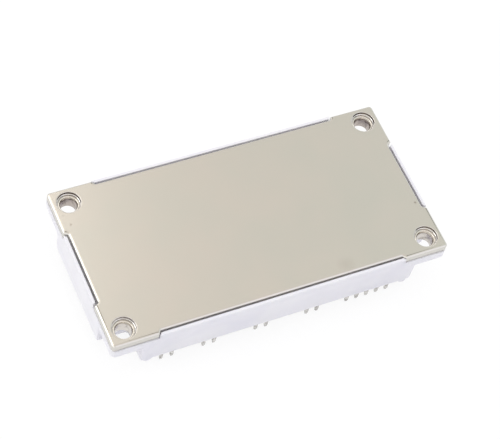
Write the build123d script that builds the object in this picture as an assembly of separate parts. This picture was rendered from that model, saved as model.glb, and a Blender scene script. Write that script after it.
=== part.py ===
from build123d import *
import os

# Power module with six transistor chips, lying with its heatsink face up and its solder pins down.
# Millimetres. The origin is the centre of the heatsink face, +X runs along the long side and +Z is up,
# so every piece below the heatsink face has a negative Z.

# Housing outline
module_length = 122.0
module_width = 62.0
flange_corner_radius = 1.8
flange_thickness = 3.5
wall_height = 12.4
wall_draft = 1.5

# Baseplate, a stamped copper plate with a shallow recess in the middle of each edge
plate_end_setback = 0.1
plate_side_setback = 0.3
plate_thickness = 3.0
plate_corner_radius = 1.2
plate_edge_chamfer = 0.4
long_recess_depth = 1.25
short_recess_depth = 1.5
recess_slope_run = 1.0
long_recess_hole_distance = 11.1
short_recess_hole_distance = 11.6

# Rim of the housing, which stands in the recesses of the plate
rim_width = 0.9
rim_setback = 0.6
long_rim_gap = 0.4
short_rim_gap = 0.9

# Mounting holes, each lined by a hollow rivet
hole_end_distance = 6.0
hole_side_distance = 6.0
bore_diameter = 5.6
rivet_wall = 0.45
rivet_clearance = 0.1
countersink_widening = 0.8
countersink_depth = 2.2
collar_setback = 1.5
rivet_head_overhang = 1.25
rivet_head_thickness = 0.8

# Corner notches in the walls, which leave room for the mounting screws
notch_end_clearance = 0.2
notch_side_clearance = 1.0
wall_corner_radius = 1.0

# Screw domes for the circuit board
dome_notch_distance = 2.95
dome_side_distance = 2.5
dome_standout = 1.6
dome_diameter = 5.0
dome_draft = 1.0
dome_chamfer = 0.4
dome_hole_diameter = 2.25
dome_hole_depth = 9.0

# Inside of the housing
end_wall = 3.0
notch_wall = 2.2
side_wall = 3.0
shelf_width = 3.5
shelf_depth = 4.0
shelf_end_margin = 0.8

# Lid in the underside
lid_thickness = 1.4
lid_setback = 0.5
lid_ledge = 0.6
lid_clearance = 0.1
lid_edge_chamfer = 0.3

# Adhesive bead in a groove of the housing, under the plate
bead_width = 0.9
bead_height = 0.5
bead_margin = 0.4

# Solder pins, each a tinned copper strip with a foot on the inner shelf
grid_steps_between_domes = 24.803
pin_width = 1.15
pin_depth = 1.0
pin_row_setback = 1.5
pin_standout = 3.5
pin_tip_length = 1.0
pin_tip_bevel = 0.27
foot_thickness = 0.8
foot_tip_setback = 0.4

# Front pins: places in grid steps from the middle, and the substrate that they serve
front_pin_groups = {
    "gate_pins_left": ((-11, -10), "left"),
    "emitter_pins_left": ((-7, -6), "left"),
    "gate_pins_middle": ((-2, -1), "middle"),
    "thermistor_pins": ((3, 4), "middle"),
    "gate_pins_right": ((7, 8, 9, 10, 11), "right"),
}

# Rear pins: places, substrate and the track that they serve
rear_pin_groups = {
    "positive_pins_left": ((-11, -10), "left", "positive"),
    "phase_pins_left": ((-8, -7), "left", "phase"),
    "negative_pins_left": ((-5, -4), "left", "negative"),
    "positive_pins_middle": ((-2, -1), "middle", "positive"),
    "phase_pins_middle": ((1, 2), "middle", "phase"),
    "negative_pins_middle": ((4, 5), "middle", "negative"),
    "positive_pins_right": ((7, 8), "right", "positive"),
    "phase_pins_right": ((10, 11), "right", "phase"),
}

# Insulating substrates, soldered to the inner face of the plate
substrate_names = ("left", "middle", "right")
substrate_gap = 1.5
substrate_end_clearance = 1.5
substrate_side_clearance = 3.5
solder_thickness = 0.2
back_copper_thickness = 0.3
ceramic_thickness = 0.4
track_thickness = 0.3
copper_margin = 0.8
track_gap = 0.8

# Chips, with lengths and widths that are shares of the tracks that carry them
transistor_length_share = 0.62
transistor_width_share = 0.8
diode_length_share = 0.38
diode_width_share = 0.6
chip_thickness = 0.25
chip_margin = 0.6
thermistor_overlap = 0.55
thermistor_width = 1.2
thermistor_height = 1.0
thermistor_margin = 0.3

# Tracks of one substrate
gate_track_width = 1.2
phase_tail_width = 3.0
negative_tail_width = 2.6
positive_track_share = 0.53
negative_track_width = 3.3
signal_pad_width = 1.7
signal_pad_length = 3.6
bond_setback = 1.2

# Bond wires, with a square section that stands for the round one
power_wire_size = 0.4
signal_wire_size = 0.3
wire_pitch = 1.6
wires_per_chip = 2
wires_per_link = 2
wire_loop = 1.5
wire_loop_share = 0.3
wire_rise_share = 0.25

# Levels worked out from the sizes above
seat_z = -plate_thickness
flange_z = seat_z - flange_thickness
shelf_z = seat_z - shelf_depth
wall_z = seat_z - wall_height
dome_z = wall_z - dome_standout
tip_z = dome_z - pin_standout
foot_z = shelf_z - foot_thickness
back_copper_z = seat_z - solder_thickness
ceramic_z = back_copper_z - back_copper_thickness
track_z = ceramic_z - ceramic_thickness
pad_z = track_z - track_thickness
chip_z = pad_z - chip_thickness

# Radii of a rivet and its hole, worked out from the sizes above
bore_radius = bore_diameter / 2
shank_radius = bore_radius + rivet_wall
shank_hole_radius = shank_radius + rivet_clearance
countersink_radius = shank_hole_radius + countersink_widening
head_radius = shank_radius + rivet_head_overhang
head_hole_radius = head_radius + rivet_clearance

# Outline of the housing and the plate, worked out from the sizes above
half_length = module_length / 2
half_width = module_width / 2
plate_half_length = half_length - plate_end_setback
plate_half_width = half_width - plate_side_setback
hole_x = half_length - hole_end_distance
hole_y = half_width - hole_side_distance
long_recess_half_length = hole_x - long_recess_hole_distance
short_recess_half_length = hole_y - short_recess_hole_distance
body_half_length = hole_x - head_hole_radius - notch_end_clearance
wing_half_width = hole_y - head_hole_radius - notch_side_clearance
dome_x = body_half_length - dome_notch_distance
dome_y = half_width - dome_side_distance
hole_places = [(side * hole_x, end * hole_y) for side in (-1, 1) for end in (-1, 1)]
dome_places = [(side * dome_x, end * dome_y) for side in (-1, 1) for end in (-1, 1)]

# Inner space, pins and substrates, worked out from the sizes above
shelf_outer_y = half_width - side_wall
shelf_inner_y = shelf_outer_y - shelf_width
inner_half_length = body_half_length - notch_wall
pin_row_y = half_width - pin_row_setback
pin_grid = 2 * dome_x / grid_steps_between_domes
pin_groups = [*front_pin_groups.values(), *rear_pin_groups.values()]
last_pin_step = max(step for steps, *_ in pin_groups for step in steps)
shelf_half_length = last_pin_step * pin_grid + shelf_end_margin
foot_end_y = shelf_inner_y + foot_tip_setback
substrate_row_length = 2 * (inner_half_length - substrate_end_clearance)
substrate_length = (substrate_row_length - 2 * substrate_gap) / len(substrate_names)
substrate_width = 2 * (shelf_inner_y - substrate_side_clearance)
copper_half_length = substrate_length / 2 - copper_margin
copper_half_width = substrate_width / 2 - copper_margin


def slab(x0, x1, y0, y1, top_z, thickness):
    """A flat block between two X and two Y values, hanging down from top_z."""
    block = Box(x1 - x0, y1 - y0, thickness, align=(Align.MIN, Align.MIN, Align.MAX))
    return Pos(x0, y0, top_z) * block


def centred_slab(length, width, top_z, thickness, x=0.0, y=0.0):
    """A flat block centred on x, y, hanging down from top_z."""
    return slab(x - length / 2, x + length / 2, y - width / 2, y + width / 2, top_z, thickness)


def cross_outline(steps):
    """The outline of several centred rectangles laid over each other, each given as two half sizes."""
    outline = Sketch()
    for step_half_length, step_half_width in steps:
        outline += Rectangle(2 * step_half_length, 2 * step_half_width)
    return outline


def recess_cutter(floor_half, edge_distance, depth, turn):
    """The trapezoid that one edge recess takes from the plate's outline, at a quarter turn."""
    floor = edge_distance - depth
    outer = edge_distance + depth
    outer_half = floor_half + 2 * recess_slope_run
    corners = [(-floor_half, floor), (floor_half, floor), (outer_half, outer), (-outer_half, outer)]
    return Rot(0, 0, turn) * make_face(Polyline(*corners, close=True))


def plate_outline():
    """The plate seen from above: a rounded rectangle with a recess in each edge."""
    outline = RectangleRounded(2 * plate_half_length, 2 * plate_half_width, plate_corner_radius)
    for turn in (0, 180):
        outline -= recess_cutter(long_recess_half_length, plate_half_width, long_recess_depth, turn)
        outline -= recess_cutter(short_recess_half_length, plate_half_length, short_recess_depth, turn + 90)
    return outline


def rivet_hole():
    """What one rivet takes from the plate and the flange: countersink, shank hole and head recess."""
    head_top = flange_z + rivet_head_thickness
    profile = Polyline(
        (0, 0),
        (countersink_radius, 0),
        (shank_hole_radius, -countersink_depth),
        (shank_hole_radius, head_top),
        (head_hole_radius, head_top),
        (head_hole_radius, flange_z),
        (0, flange_z),
        close=True,
    )
    return revolve(Plane.XZ * make_face(profile), Axis.Z)


def rivet():
    """A hollow rivet: flat head under the flange, shank, and a collar flared into the countersink."""
    head_top = flange_z + rivet_head_thickness
    flare = countersink_widening * (1 - collar_setback / countersink_depth)
    profile = Polyline(
        (bore_radius, flange_z),
        (head_radius, flange_z),
        (head_radius, head_top),
        (shank_radius, head_top),
        (shank_radius, -countersink_depth),
        (shank_radius + flare, -collar_setback),
        (bore_radius + flare, -collar_setback),
        (bore_radius, -countersink_depth),
        close=True,
    )
    return revolve(Plane.XZ * make_face(profile), Axis.Z)


def baseplate():
    """Copper plate with edge recesses, a broken edge round the heatsink face and four rivet holes."""
    plate = extrude(plate_outline(), -plate_thickness)
    upper_edges = plate.edges().group_by(Axis.Z)[-1]
    plate = chamfer(upper_edges, plate_edge_chamfer)
    for x, y in hole_places:
        plate -= Pos(x, y, 0) * rivet_hole()
    return plate


def body_walls():
    """The drafted outside of the housing, a cross that leaves the four corners to the notches."""
    outline = cross_outline([(body_half_length, half_width), (half_length, wing_half_width)])
    outline = fillet(outline.vertices(), wall_corner_radius)
    return extrude(Pos(0, 0, seat_z) * outline, amount=-wall_height, dir=(0, 0, 1), taper=wall_draft)


def corner_flange():
    """The plastic pad under one corner tab of the plate, with roots that run into the walls."""
    root = 2 * wall_corner_radius
    start_x = body_half_length - root
    start_y = wing_half_width - root
    length = half_length - start_x
    width = half_width - start_y
    pad = RectangleRounded(2 * length, 2 * width, flange_corner_radius)
    quarter = Rectangle(length, width, align=(Align.MIN, Align.MIN))
    return extrude(Pos(start_x, start_y, seat_z) * (pad & quarter), -flange_thickness)


def screw_dome():
    """A drafted column with a chamfered lower end, for one screw of the circuit board."""
    dome = extrude(Pos(0, 0, seat_z) * Circle(dome_diameter / 2), amount=seat_z - dome_z, dir=(0, 0, -1),
                   taper=dome_draft)
    foot = dome.edges().group_by(Axis.Z)[0]
    return chamfer(foot, dome_chamfer)


def dome_hole():
    """The blind hole that a thread-forming screw cuts its thread in."""
    hole = Cylinder(dome_hole_diameter / 2, dome_hole_depth, align=(Align.CENTER, Align.CENTER, Align.MIN))
    return Pos(0, 0, dome_z) * hole


def rim_bar(floor_half, edge_distance, depth, outer, gap, turn):
    """One low bar of the rim, at a quarter turn, with ends that follow its recess a gap away."""
    slope = recess_slope_run / depth
    inner = outer - rim_width
    inner_half = floor_half + slope * (inner - edge_distance + depth) - gap
    outer_half = inner_half + slope * rim_width
    corners = [(-inner_half, inner), (inner_half, inner), (outer_half, outer), (-outer_half, outer)]
    outline = make_face(Polyline(*corners, close=True))
    return Rot(0, 0, turn) * extrude(Pos(0, 0, seat_z) * outline, plate_thickness - rim_setback)


def rim():
    """The four low bars of the housing that stand in the plate's edge recesses."""
    bars = []
    for turn in (0, 180):
        bars.append(rim_bar(long_recess_half_length, plate_half_width, long_recess_depth, half_width,
                            long_rim_gap, turn))
        bars.append(rim_bar(short_recess_half_length, plate_half_length, short_recess_depth, half_length,
                            short_rim_gap, turn + 90))
    return bars


def shelf_steps():
    """Half sizes of the inner space above the pin shelves, next to the plate."""
    return [(inner_half_length, shelf_inner_y), (half_length - end_wall, wing_half_width - notch_wall)]


def cavity_steps():
    """Half sizes of the inner space below the pin shelves, down to the lid."""
    return shelf_steps() + [(shelf_half_length, shelf_outer_y)]


def lid_outline(growth):
    """The inner space's outline grown by some width, as the lid and its seat need it."""
    return offset(cross_outline(cavity_steps()), growth, kind=Kind.INTERSECTION)


def adhesive_bead():
    """The closed bead of adhesive in its groove round the inner space."""
    inner = offset(cross_outline(shelf_steps()), bead_margin, kind=Kind.INTERSECTION)
    outer = offset(inner, bead_width, kind=Kind.INTERSECTION)
    return extrude(Pos(0, 0, seat_z) * (outer - inner), -bead_height)


def terminal_pin(place, side):
    """One L-shaped pin: a leg in the wall with a tapered tip, and a foot on the inner shelf."""
    x = place * pin_grid
    leg_height = shelf_z - tip_z - pin_tip_length
    leg = centred_slab(pin_width, pin_depth, shelf_z, leg_height, x, pin_row_y)
    wedge = Wedge(pin_width, pin_tip_length, pin_depth, pin_tip_bevel, pin_tip_bevel,
                  pin_width - pin_tip_bevel, pin_depth - pin_tip_bevel)
    tip = Pos(x, pin_row_y, tip_z + pin_tip_length / 2) * Rot(-90, 0, 0) * wedge
    foot = slab(x - pin_width / 2, x + pin_width / 2, foot_end_y, pin_row_y, shelf_z, foot_thickness)
    pin = leg + foot + tip
    return pin if side > 0 else mirror(pin, about=Plane.XZ)


def pin_group(places, side):
    """The pins of one group, on the front (-1) or the rear (1) long side."""
    return [terminal_pin(place, side) for place in places]


def housing_frame(pins, bead):
    """The moulded housing: walls, flanges, domes and rim, with the pins moulded in."""
    frame = body_walls()
    pad = corner_flange()
    for quarter in (pad, mirror(pad, about=Plane.YZ)):
        frame += quarter
        frame += mirror(quarter, about=Plane.XZ)
    for bar in rim():
        frame += bar
    frame -= extrude(Pos(0, 0, seat_z) * cross_outline(shelf_steps()), -shelf_depth)
    frame -= extrude(Pos(0, 0, shelf_z) * cross_outline(cavity_steps()), wall_z - shelf_z)
    seat_depth = lid_setback + lid_thickness
    frame -= extrude(Pos(0, 0, wall_z) * lid_outline(lid_ledge), seat_depth)
    for x, y in dome_places:
        frame += Pos(x, y, 0) * screw_dome()
    for x, y in dome_places:
        frame -= Pos(x, y, 0) * dome_hole()
    for x, y in hole_places:
        frame -= Pos(x, y, 0) * rivet_hole()
    frame -= bead
    for pin in pins:
        frame -= pin
    return frame


def lid():
    """The flat lid that closes the underside, seated on the ledge inside the walls."""
    panel = extrude(Pos(0, 0, wall_z + lid_setback) * lid_outline(lid_ledge - lid_clearance), lid_thickness)
    edges = panel.edges().group_by(Axis.Z)[0]
    return chamfer(edges, lid_edge_chamfer)


def substrate_x(name):
    """Middle of a substrate along the module."""
    return (substrate_names.index(name) - 1) * (substrate_length + substrate_gap)


def front_steps(name):
    """Grid steps of the front pins that serve one substrate, from left to right."""
    return sorted(step for steps, served in front_pin_groups.values() if served == name for step in steps)


def signal_pad_places(name):
    """Middles of the signal pads of one substrate, as near as they fit to the front pins it serves."""
    limit = copper_half_length - signal_pad_width / 2
    centre = substrate_x(name)
    places = []
    for step in reversed(front_steps(name)):
        places.append(min(step * pin_grid - centre, limit))
        limit = places[-1] - signal_pad_width - track_gap
    return places[::-1]


def track_limits():
    """The X and Y limits of the named tracks of a substrate, from its middle."""
    left = -copper_half_length
    right = copper_half_length
    bottom = -copper_half_width
    top = copper_half_width
    inner_left = left + gate_track_width + track_gap
    negative_x = right - negative_tail_width
    phase_x = negative_x - track_gap
    tail_x = phase_x - phase_tail_width
    negative_y = bottom + signal_pad_length + track_gap
    phase_y = negative_y + negative_track_width + track_gap
    positive_y = top - positive_track_share * (top - phase_y - track_gap)
    return {
        "gate": (left, left + gate_track_width, bottom, top),
        "positive": (inner_left, tail_x - track_gap, positive_y, top),
        "phase": (inner_left, phase_x, phase_y, positive_y - track_gap),
        "phase_tail": (tail_x, phase_x, phase_y, top),
        "negative": (inner_left, right, negative_y, negative_y + negative_track_width),
        "negative_tail": (negative_x, right, negative_y, top),
    }


def middle(limits):
    """The middle of X and Y limits."""
    x0, x1, y0, y1 = limits
    return (x0 + x1) / 2, (y0 + y1) / 2


def chip_sizes():
    """Length and width of the transistor and of the diode, as shares of the tracks' free room."""
    tracks = track_limits()
    x0, x1, _, _ = tracks["positive"]
    _, _, y0, y1 = tracks["phase"]
    room_x = x1 - x0 - 3 * chip_margin
    room_y = y1 - y0 - 2 * chip_margin
    return {
        "transistor": (transistor_length_share * room_x, transistor_width_share * room_y),
        "diode": (diode_length_share * room_x, diode_width_share * room_y),
    }


def chip_places():
    """Middles of the four chips of a substrate, from its middle."""
    tracks = track_limits()
    transistor_length, transistor_width = chip_sizes()["transistor"]
    diode_length, _ = chip_sizes()["diode"]
    places = {}
    for level, track in (("upper", "positive"), ("lower", "phase")):
        x0, _, y0, _ = tracks[track]
        y = y0 + chip_margin + transistor_width / 2
        diode_start = x0 + 2 * chip_margin + transistor_length
        places[level + "_transistor"] = (x0 + chip_margin + transistor_length / 2, y)
        places[level + "_diode"] = (diode_start + diode_length / 2, y)
    return places


def solder_layer(name):
    """The solder between the plate and one substrate."""
    return centred_slab(2 * copper_half_length, 2 * copper_half_width, seat_z, solder_thickness,
                        substrate_x(name))


def back_copper(name):
    """The copper sheet on the plate side of one substrate."""
    return centred_slab(2 * copper_half_length, 2 * copper_half_width, back_copper_z,
                        back_copper_thickness, substrate_x(name))


def ceramic_plate(name):
    """The ceramic plate of one substrate."""
    return centred_slab(substrate_length, substrate_width, ceramic_z, ceramic_thickness, substrate_x(name))


def copper_tracks(name):
    """The etched copper of one substrate: gate, positive, phase and negative tracks and signal pads."""
    tracks = track_limits()
    pads = signal_pad_places(name)
    bottom = -copper_half_width
    pad_top = bottom + signal_pad_length
    pieces = []
    x0, x1, y0, y1 = tracks["gate"]
    gate = slab(x0, x1, y0, y1, track_z, track_thickness)
    gate += slab(x0, pads[0] + signal_pad_width / 2, bottom, pad_top, track_z, track_thickness)
    pieces.append(gate)
    pieces.append(slab(*tracks["positive"], track_z, track_thickness))
    for track in ("phase", "negative"):
        strip = slab(*tracks[track], track_z, track_thickness)
        pieces.append(strip + slab(*tracks[track + "_tail"], track_z, track_thickness))
    for place in pads[1:]:
        pieces.append(slab(place - signal_pad_width / 2, place + signal_pad_width / 2, bottom, pad_top,
                           track_z, track_thickness))
    return [Pos(substrate_x(name), 0, 0) * piece for piece in pieces]


def chip(name, kind):
    """One chip on its track; kind is upper or lower, transistor or diode."""
    x, y = chip_places()[kind]
    _, form = kind.split("_")
    length, width = chip_sizes()[form]
    return centred_slab(length, width, pad_z, chip_thickness, substrate_x(name) + x, y)


def thermistor():
    """The temperature sensor, a small block across two signal pads of the middle substrate."""
    left, right = signal_pad_places("middle")[-2:]
    length = right - left - signal_pad_width + 2 * thermistor_overlap
    x = substrate_x("middle") + (left + right) / 2
    y = -copper_half_width + signal_pad_length - thermistor_width / 2 - thermistor_margin
    return centred_slab(length, thermistor_width, pad_z, thermistor_height, x, y)


def bond_wire(start, end, size):
    """A bond wire in three straight runs, away from one pad, across and back to another, flush with both."""
    start = Vector(*start)
    end = Vector(*end)
    span = Vector(end.X - start.X, end.Y - start.Y, 0)
    crest_z = min(start.Z, end.Z) - min(wire_loop, wire_loop_share * span.length)
    rise = start + span * wire_rise_share
    fall = end - span * wire_rise_share
    path = Polyline(start, (rise.X, rise.Y, crest_z), (fall.X, fall.Y, crest_z), end)
    section = Plane(origin=start, x_dir=span.cross(Vector(0, 0, 1)), z_dir=path % 0) * Rectangle(size, size)
    wire = sweep(section, path=path, transition=Transition.RIGHT)
    for pad in (start, end):
        block = Box(4 * size, 4 * size, 2 * size, align=(Align.CENTER, Align.CENTER, Align.MIN))
        wire -= Pos(pad) * block
    return wire


def spread(middle_value, count):
    """Places of several wires side by side, a wire pitch apart."""
    return [middle_value + (index - (count - 1) / 2) * wire_pitch for index in range(count)]


def chip_wires(name):
    """The wires of one substrate, from chips to chips and tracks."""
    chips = chip_places()
    tracks = track_limits()
    transistor_length, transistor_width = chip_sizes()["transistor"]
    diode_length, diode_width = chip_sizes()["diode"]
    wires = []
    upper_x, upper_y = chips["upper_transistor"]
    diode_x, _ = chips["upper_diode"]
    tail_x, _ = middle(tracks["phase_tail"])
    for y in spread(upper_y, wires_per_chip):
        diode_start = (diode_x - diode_length / 4, y, chip_z)
        diode_end = (diode_x + diode_length / 4, y, chip_z)
        wires.append(bond_wire((upper_x, y, chip_z), diode_start, power_wire_size))
        wires.append(bond_wire(diode_end, (tail_x, y, pad_z), power_wire_size))
    _, strip_y = middle(tracks["negative"])
    for kind in ("lower_transistor", "lower_diode"):
        chip_x, chip_y = chips[kind]
        for x in spread(chip_x, wires_per_chip):
            start = (x, chip_y - diode_width / 4, chip_z)
            wires.append(bond_wire(start, (x, strip_y, pad_z), power_wire_size))
    gate_x, _ = middle(tracks["gate"])
    corner_x = transistor_length / 2 - bond_setback
    corner_y = transistor_width / 2 - bond_setback
    gate_start = (upper_x - corner_x, upper_y, chip_z)
    wires.append(bond_wire(gate_start, (gate_x, upper_y, pad_z), signal_wire_size))
    lower_x, lower_y = chips["lower_transistor"]
    gate_start = (lower_x + corner_x, lower_y - corner_y, chip_z)
    gate_end = (signal_pad_places(name)[1], -copper_half_width + 2 * bond_setback, pad_z)
    wires.append(bond_wire(gate_start, gate_end, signal_wire_size))
    return [Pos(substrate_x(name), 0, 0) * wire for wire in wires]


def front_pin_wires():
    """The wires from the feet of the front pins to the signal pads, one for each pin."""
    wires = []
    for name in substrate_names:
        for step, pad in zip(front_steps(name), signal_pad_places(name)):
            start = (step * pin_grid, -(foot_end_y + bond_setback), foot_z)
            end = (substrate_x(name) + pad, -copper_half_width + bond_setback, pad_z)
            wires.append(bond_wire(start, end, signal_wire_size))
    return wires


def rear_pin_wires():
    """The wires from the feet of the rear pins to the power tracks, one for each pin."""
    tracks = track_limits()
    land_y = copper_half_width - bond_setback
    wires = []
    for steps, name, track in rear_pin_groups.values():
        feet = [step * pin_grid for step in steps]
        lands = feet
        if track != "positive":
            tail_x, _ = middle(tracks[track + "_tail"])
            lands = spread(substrate_x(name) + tail_x, len(steps))
        for foot_x, land_x in zip(feet, lands):
            start = (foot_x, foot_end_y + bond_setback, foot_z)
            wires.append(bond_wire(start, (land_x, land_y, pad_z), power_wire_size))
    return wires


def link_wires():
    """The wires that join the negative tracks of neighbouring substrates."""
    tracks = track_limits()
    _, strip_y = middle(tracks["negative"])
    tail_x, _ = middle(tracks["negative_tail"])
    start_x = tracks["negative"][0] + bond_setback
    wires = []
    for left, right in zip(substrate_names, substrate_names[1:]):
        for y in spread(strip_y, wires_per_link):
            start = (substrate_x(left) + tail_x, y, pad_z)
            wires.append(bond_wire(start, (substrate_x(right) + start_x, y, pad_z), power_wire_size))
    return wires


def pin_nodes():
    """Every group of solder pins by name."""
    nodes = {name: pin_group(steps, -1) for name, (steps, _) in front_pin_groups.items()}
    for name, (steps, _, _) in rear_pin_groups.items():
        nodes[name] = pin_group(steps, 1)
    return nodes


def circuit_nodes():
    """Every piece of the electric circuit inside by name, as lists of solids."""
    nodes = {}
    for name in substrate_names:
        nodes["solder_layer_" + name] = [solder_layer(name)]
        nodes["back_copper_" + name] = [back_copper(name)]
        nodes["ceramic_plate_" + name] = [ceramic_plate(name)]
        nodes["copper_tracks_" + name] = copper_tracks(name)
        for kind in chip_places():
            nodes[kind + "_chip_" + name] = [chip(name, kind)]
        nodes["chip_wires_" + name] = chip_wires(name)
    nodes["thermistor"] = [thermistor()]
    nodes["front_pin_wires"] = front_pin_wires()
    nodes["rear_pin_wires"] = rear_pin_wires()
    nodes["link_wires"] = link_wires()
    return nodes


def write(name, group):
    """Write one node; several separate solids go in as a group."""
    solids = [solid for piece in group for solid in piece.solids()]
    shape = solids[0] if len(solids) == 1 else Compound(children=solids)
    export_step(shape, os.path.join("parts", name + ".step"))


def main():
    """Build every piece of the module and write it to its own file."""
    os.makedirs("parts", exist_ok=True)
    pins = pin_nodes()
    bead = adhesive_bead()
    nodes = {
        "baseplate": [baseplate()],
        "housing_frame": [housing_frame([pin for group in pins.values() for pin in group], bead)],
        "lid": [lid()],
        "adhesive_bead": [bead],
        "hollow_rivets": [Pos(x, y, 0) * rivet() for x, y in hole_places],
    }
    for name, group in (nodes | pins | circuit_nodes()).items():
        write(name, group)


main()
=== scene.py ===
"""Looks of a flat power module, lying with its nickel-plated heatsink face up and its solder pins down."""

import logging
import math
from collections.abc import Iterator
from contextlib import contextmanager
from dataclasses import dataclass, field
from enum import Enum
from typing import Any

import bmesh
import bpy
import numpy as np
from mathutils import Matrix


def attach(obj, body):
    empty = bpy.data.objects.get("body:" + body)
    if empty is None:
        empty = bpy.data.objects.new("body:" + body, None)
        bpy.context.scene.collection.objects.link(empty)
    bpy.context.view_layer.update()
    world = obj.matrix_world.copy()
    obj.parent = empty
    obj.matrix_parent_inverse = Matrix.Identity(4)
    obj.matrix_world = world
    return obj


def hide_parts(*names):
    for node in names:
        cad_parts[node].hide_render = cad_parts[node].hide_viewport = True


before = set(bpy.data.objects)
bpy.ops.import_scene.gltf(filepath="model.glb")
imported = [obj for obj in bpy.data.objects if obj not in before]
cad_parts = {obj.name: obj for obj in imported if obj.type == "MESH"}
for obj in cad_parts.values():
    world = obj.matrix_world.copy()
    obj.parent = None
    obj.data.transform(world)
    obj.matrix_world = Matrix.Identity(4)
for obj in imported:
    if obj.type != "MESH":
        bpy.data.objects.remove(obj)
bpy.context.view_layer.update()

LOG = logging.getLogger("power_module")
MM = 0.001
ROOT = "root"
WHITE = (1.0, 1.0, 1.0, 1.0)
# Two heights that differ by less than this are the same, in metres.
SAME_HEIGHT = 1e-7

Tree = bpy.types.NodeTree
Node = bpy.types.Node
Socket = bpy.types.NodeSocket
Material = bpy.types.Material
Pair = tuple[float, float]
Triple = tuple[float, float, float]


class Side(Enum):
    """The long side of the housing that a row of pins stands on."""

    FRONT = -1
    REAR = 1


@dataclass(frozen=True)
class HolePattern:
    """The four rivet holes, one in each corner: places of their axes and radius of their mouths, in mm."""

    x: float = 55.0
    y: float = 25.0
    mouth_radius: float = 4.15

    def axes(self) -> list[Pair]:
        """Places of the four axes."""
        return [(x, y) for x in (-self.x, self.x) for y in (-self.y, self.y)]


HOLES = HolePattern()


# Colours and nodes


def linear(hex_colour: str) -> tuple[float, float, float, float]:
    """Turn an sRGB hex colour to linear light.

    Args:
        hex_colour: Six hex digits, with or without a leading hash.

    Returns:
        Linear red, green, blue and an alpha of one.
    """
    digits = hex_colour.lstrip("#")
    srgb = np.array([int(digits[i : i + 2], 16) for i in (0, 2, 4)]) / 255.0
    light = np.where(srgb <= 0.04045, srgb / 12.92, ((srgb + 0.055) / 1.055) ** 2.4)
    return (*(float(value) for value in light), 1.0)


def between(name: str, ends: Pair) -> dict[str, float]:
    """Name the ends of a range as a node's inputs do, such as From Min and From Max."""
    return {f"{name} Min": ends[0], f"{name} Max": ends[1]}


def add_node(tree: Tree, kind: str, inputs: dict | None = None, **settings: Any) -> Node:
    """Add a node with its settings, and fill or link its inputs.

    Args:
        tree: The node tree that gets the node.
        kind: Blender's name of the node type.
        inputs: Input name or number to a value, a socket, or a node whose first output in use is linked.
        **settings: Properties of the node itself.

    Returns:
        The new node.
    """
    node = tree.nodes.new(kind)
    for name, value in settings.items():
        setattr(node, name, value)
    for name, value in (inputs or {}).items():
        if isinstance(value, Node):
            value = next(output for output in value.outputs if output.enabled)
        if isinstance(value, Socket):
            tree.links.new(value, node.inputs[name])
        else:
            node.inputs[name].default_value = value
    return node


def emptied_tree(owner: Material | bpy.types.World) -> Tree:
    """Give a material or world an empty node tree.

    Args:
        owner: The material or world.

    Returns:
        Its node tree.
    """
    owner.use_nodes = True
    owner.node_tree.nodes.clear()
    return owner.node_tree


def finish_surface(tree: Tree, surface: dict[str, Any], relief: dict[str, Any]) -> None:
    """End a material with a bump, a Principled shader and the output.

    Args:
        tree: The material's node tree.
        surface: Inputs of the shader.
        relief: Inputs of the bump.
    """
    bump = add_node(tree, "ShaderNodeBump", relief)
    shader = add_node(tree, "ShaderNodeBsdfPrincipled", {**surface, "Normal": bump})
    add_node(tree, "ShaderNodeOutputMaterial", {"Surface": shader})


# Finishes


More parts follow.
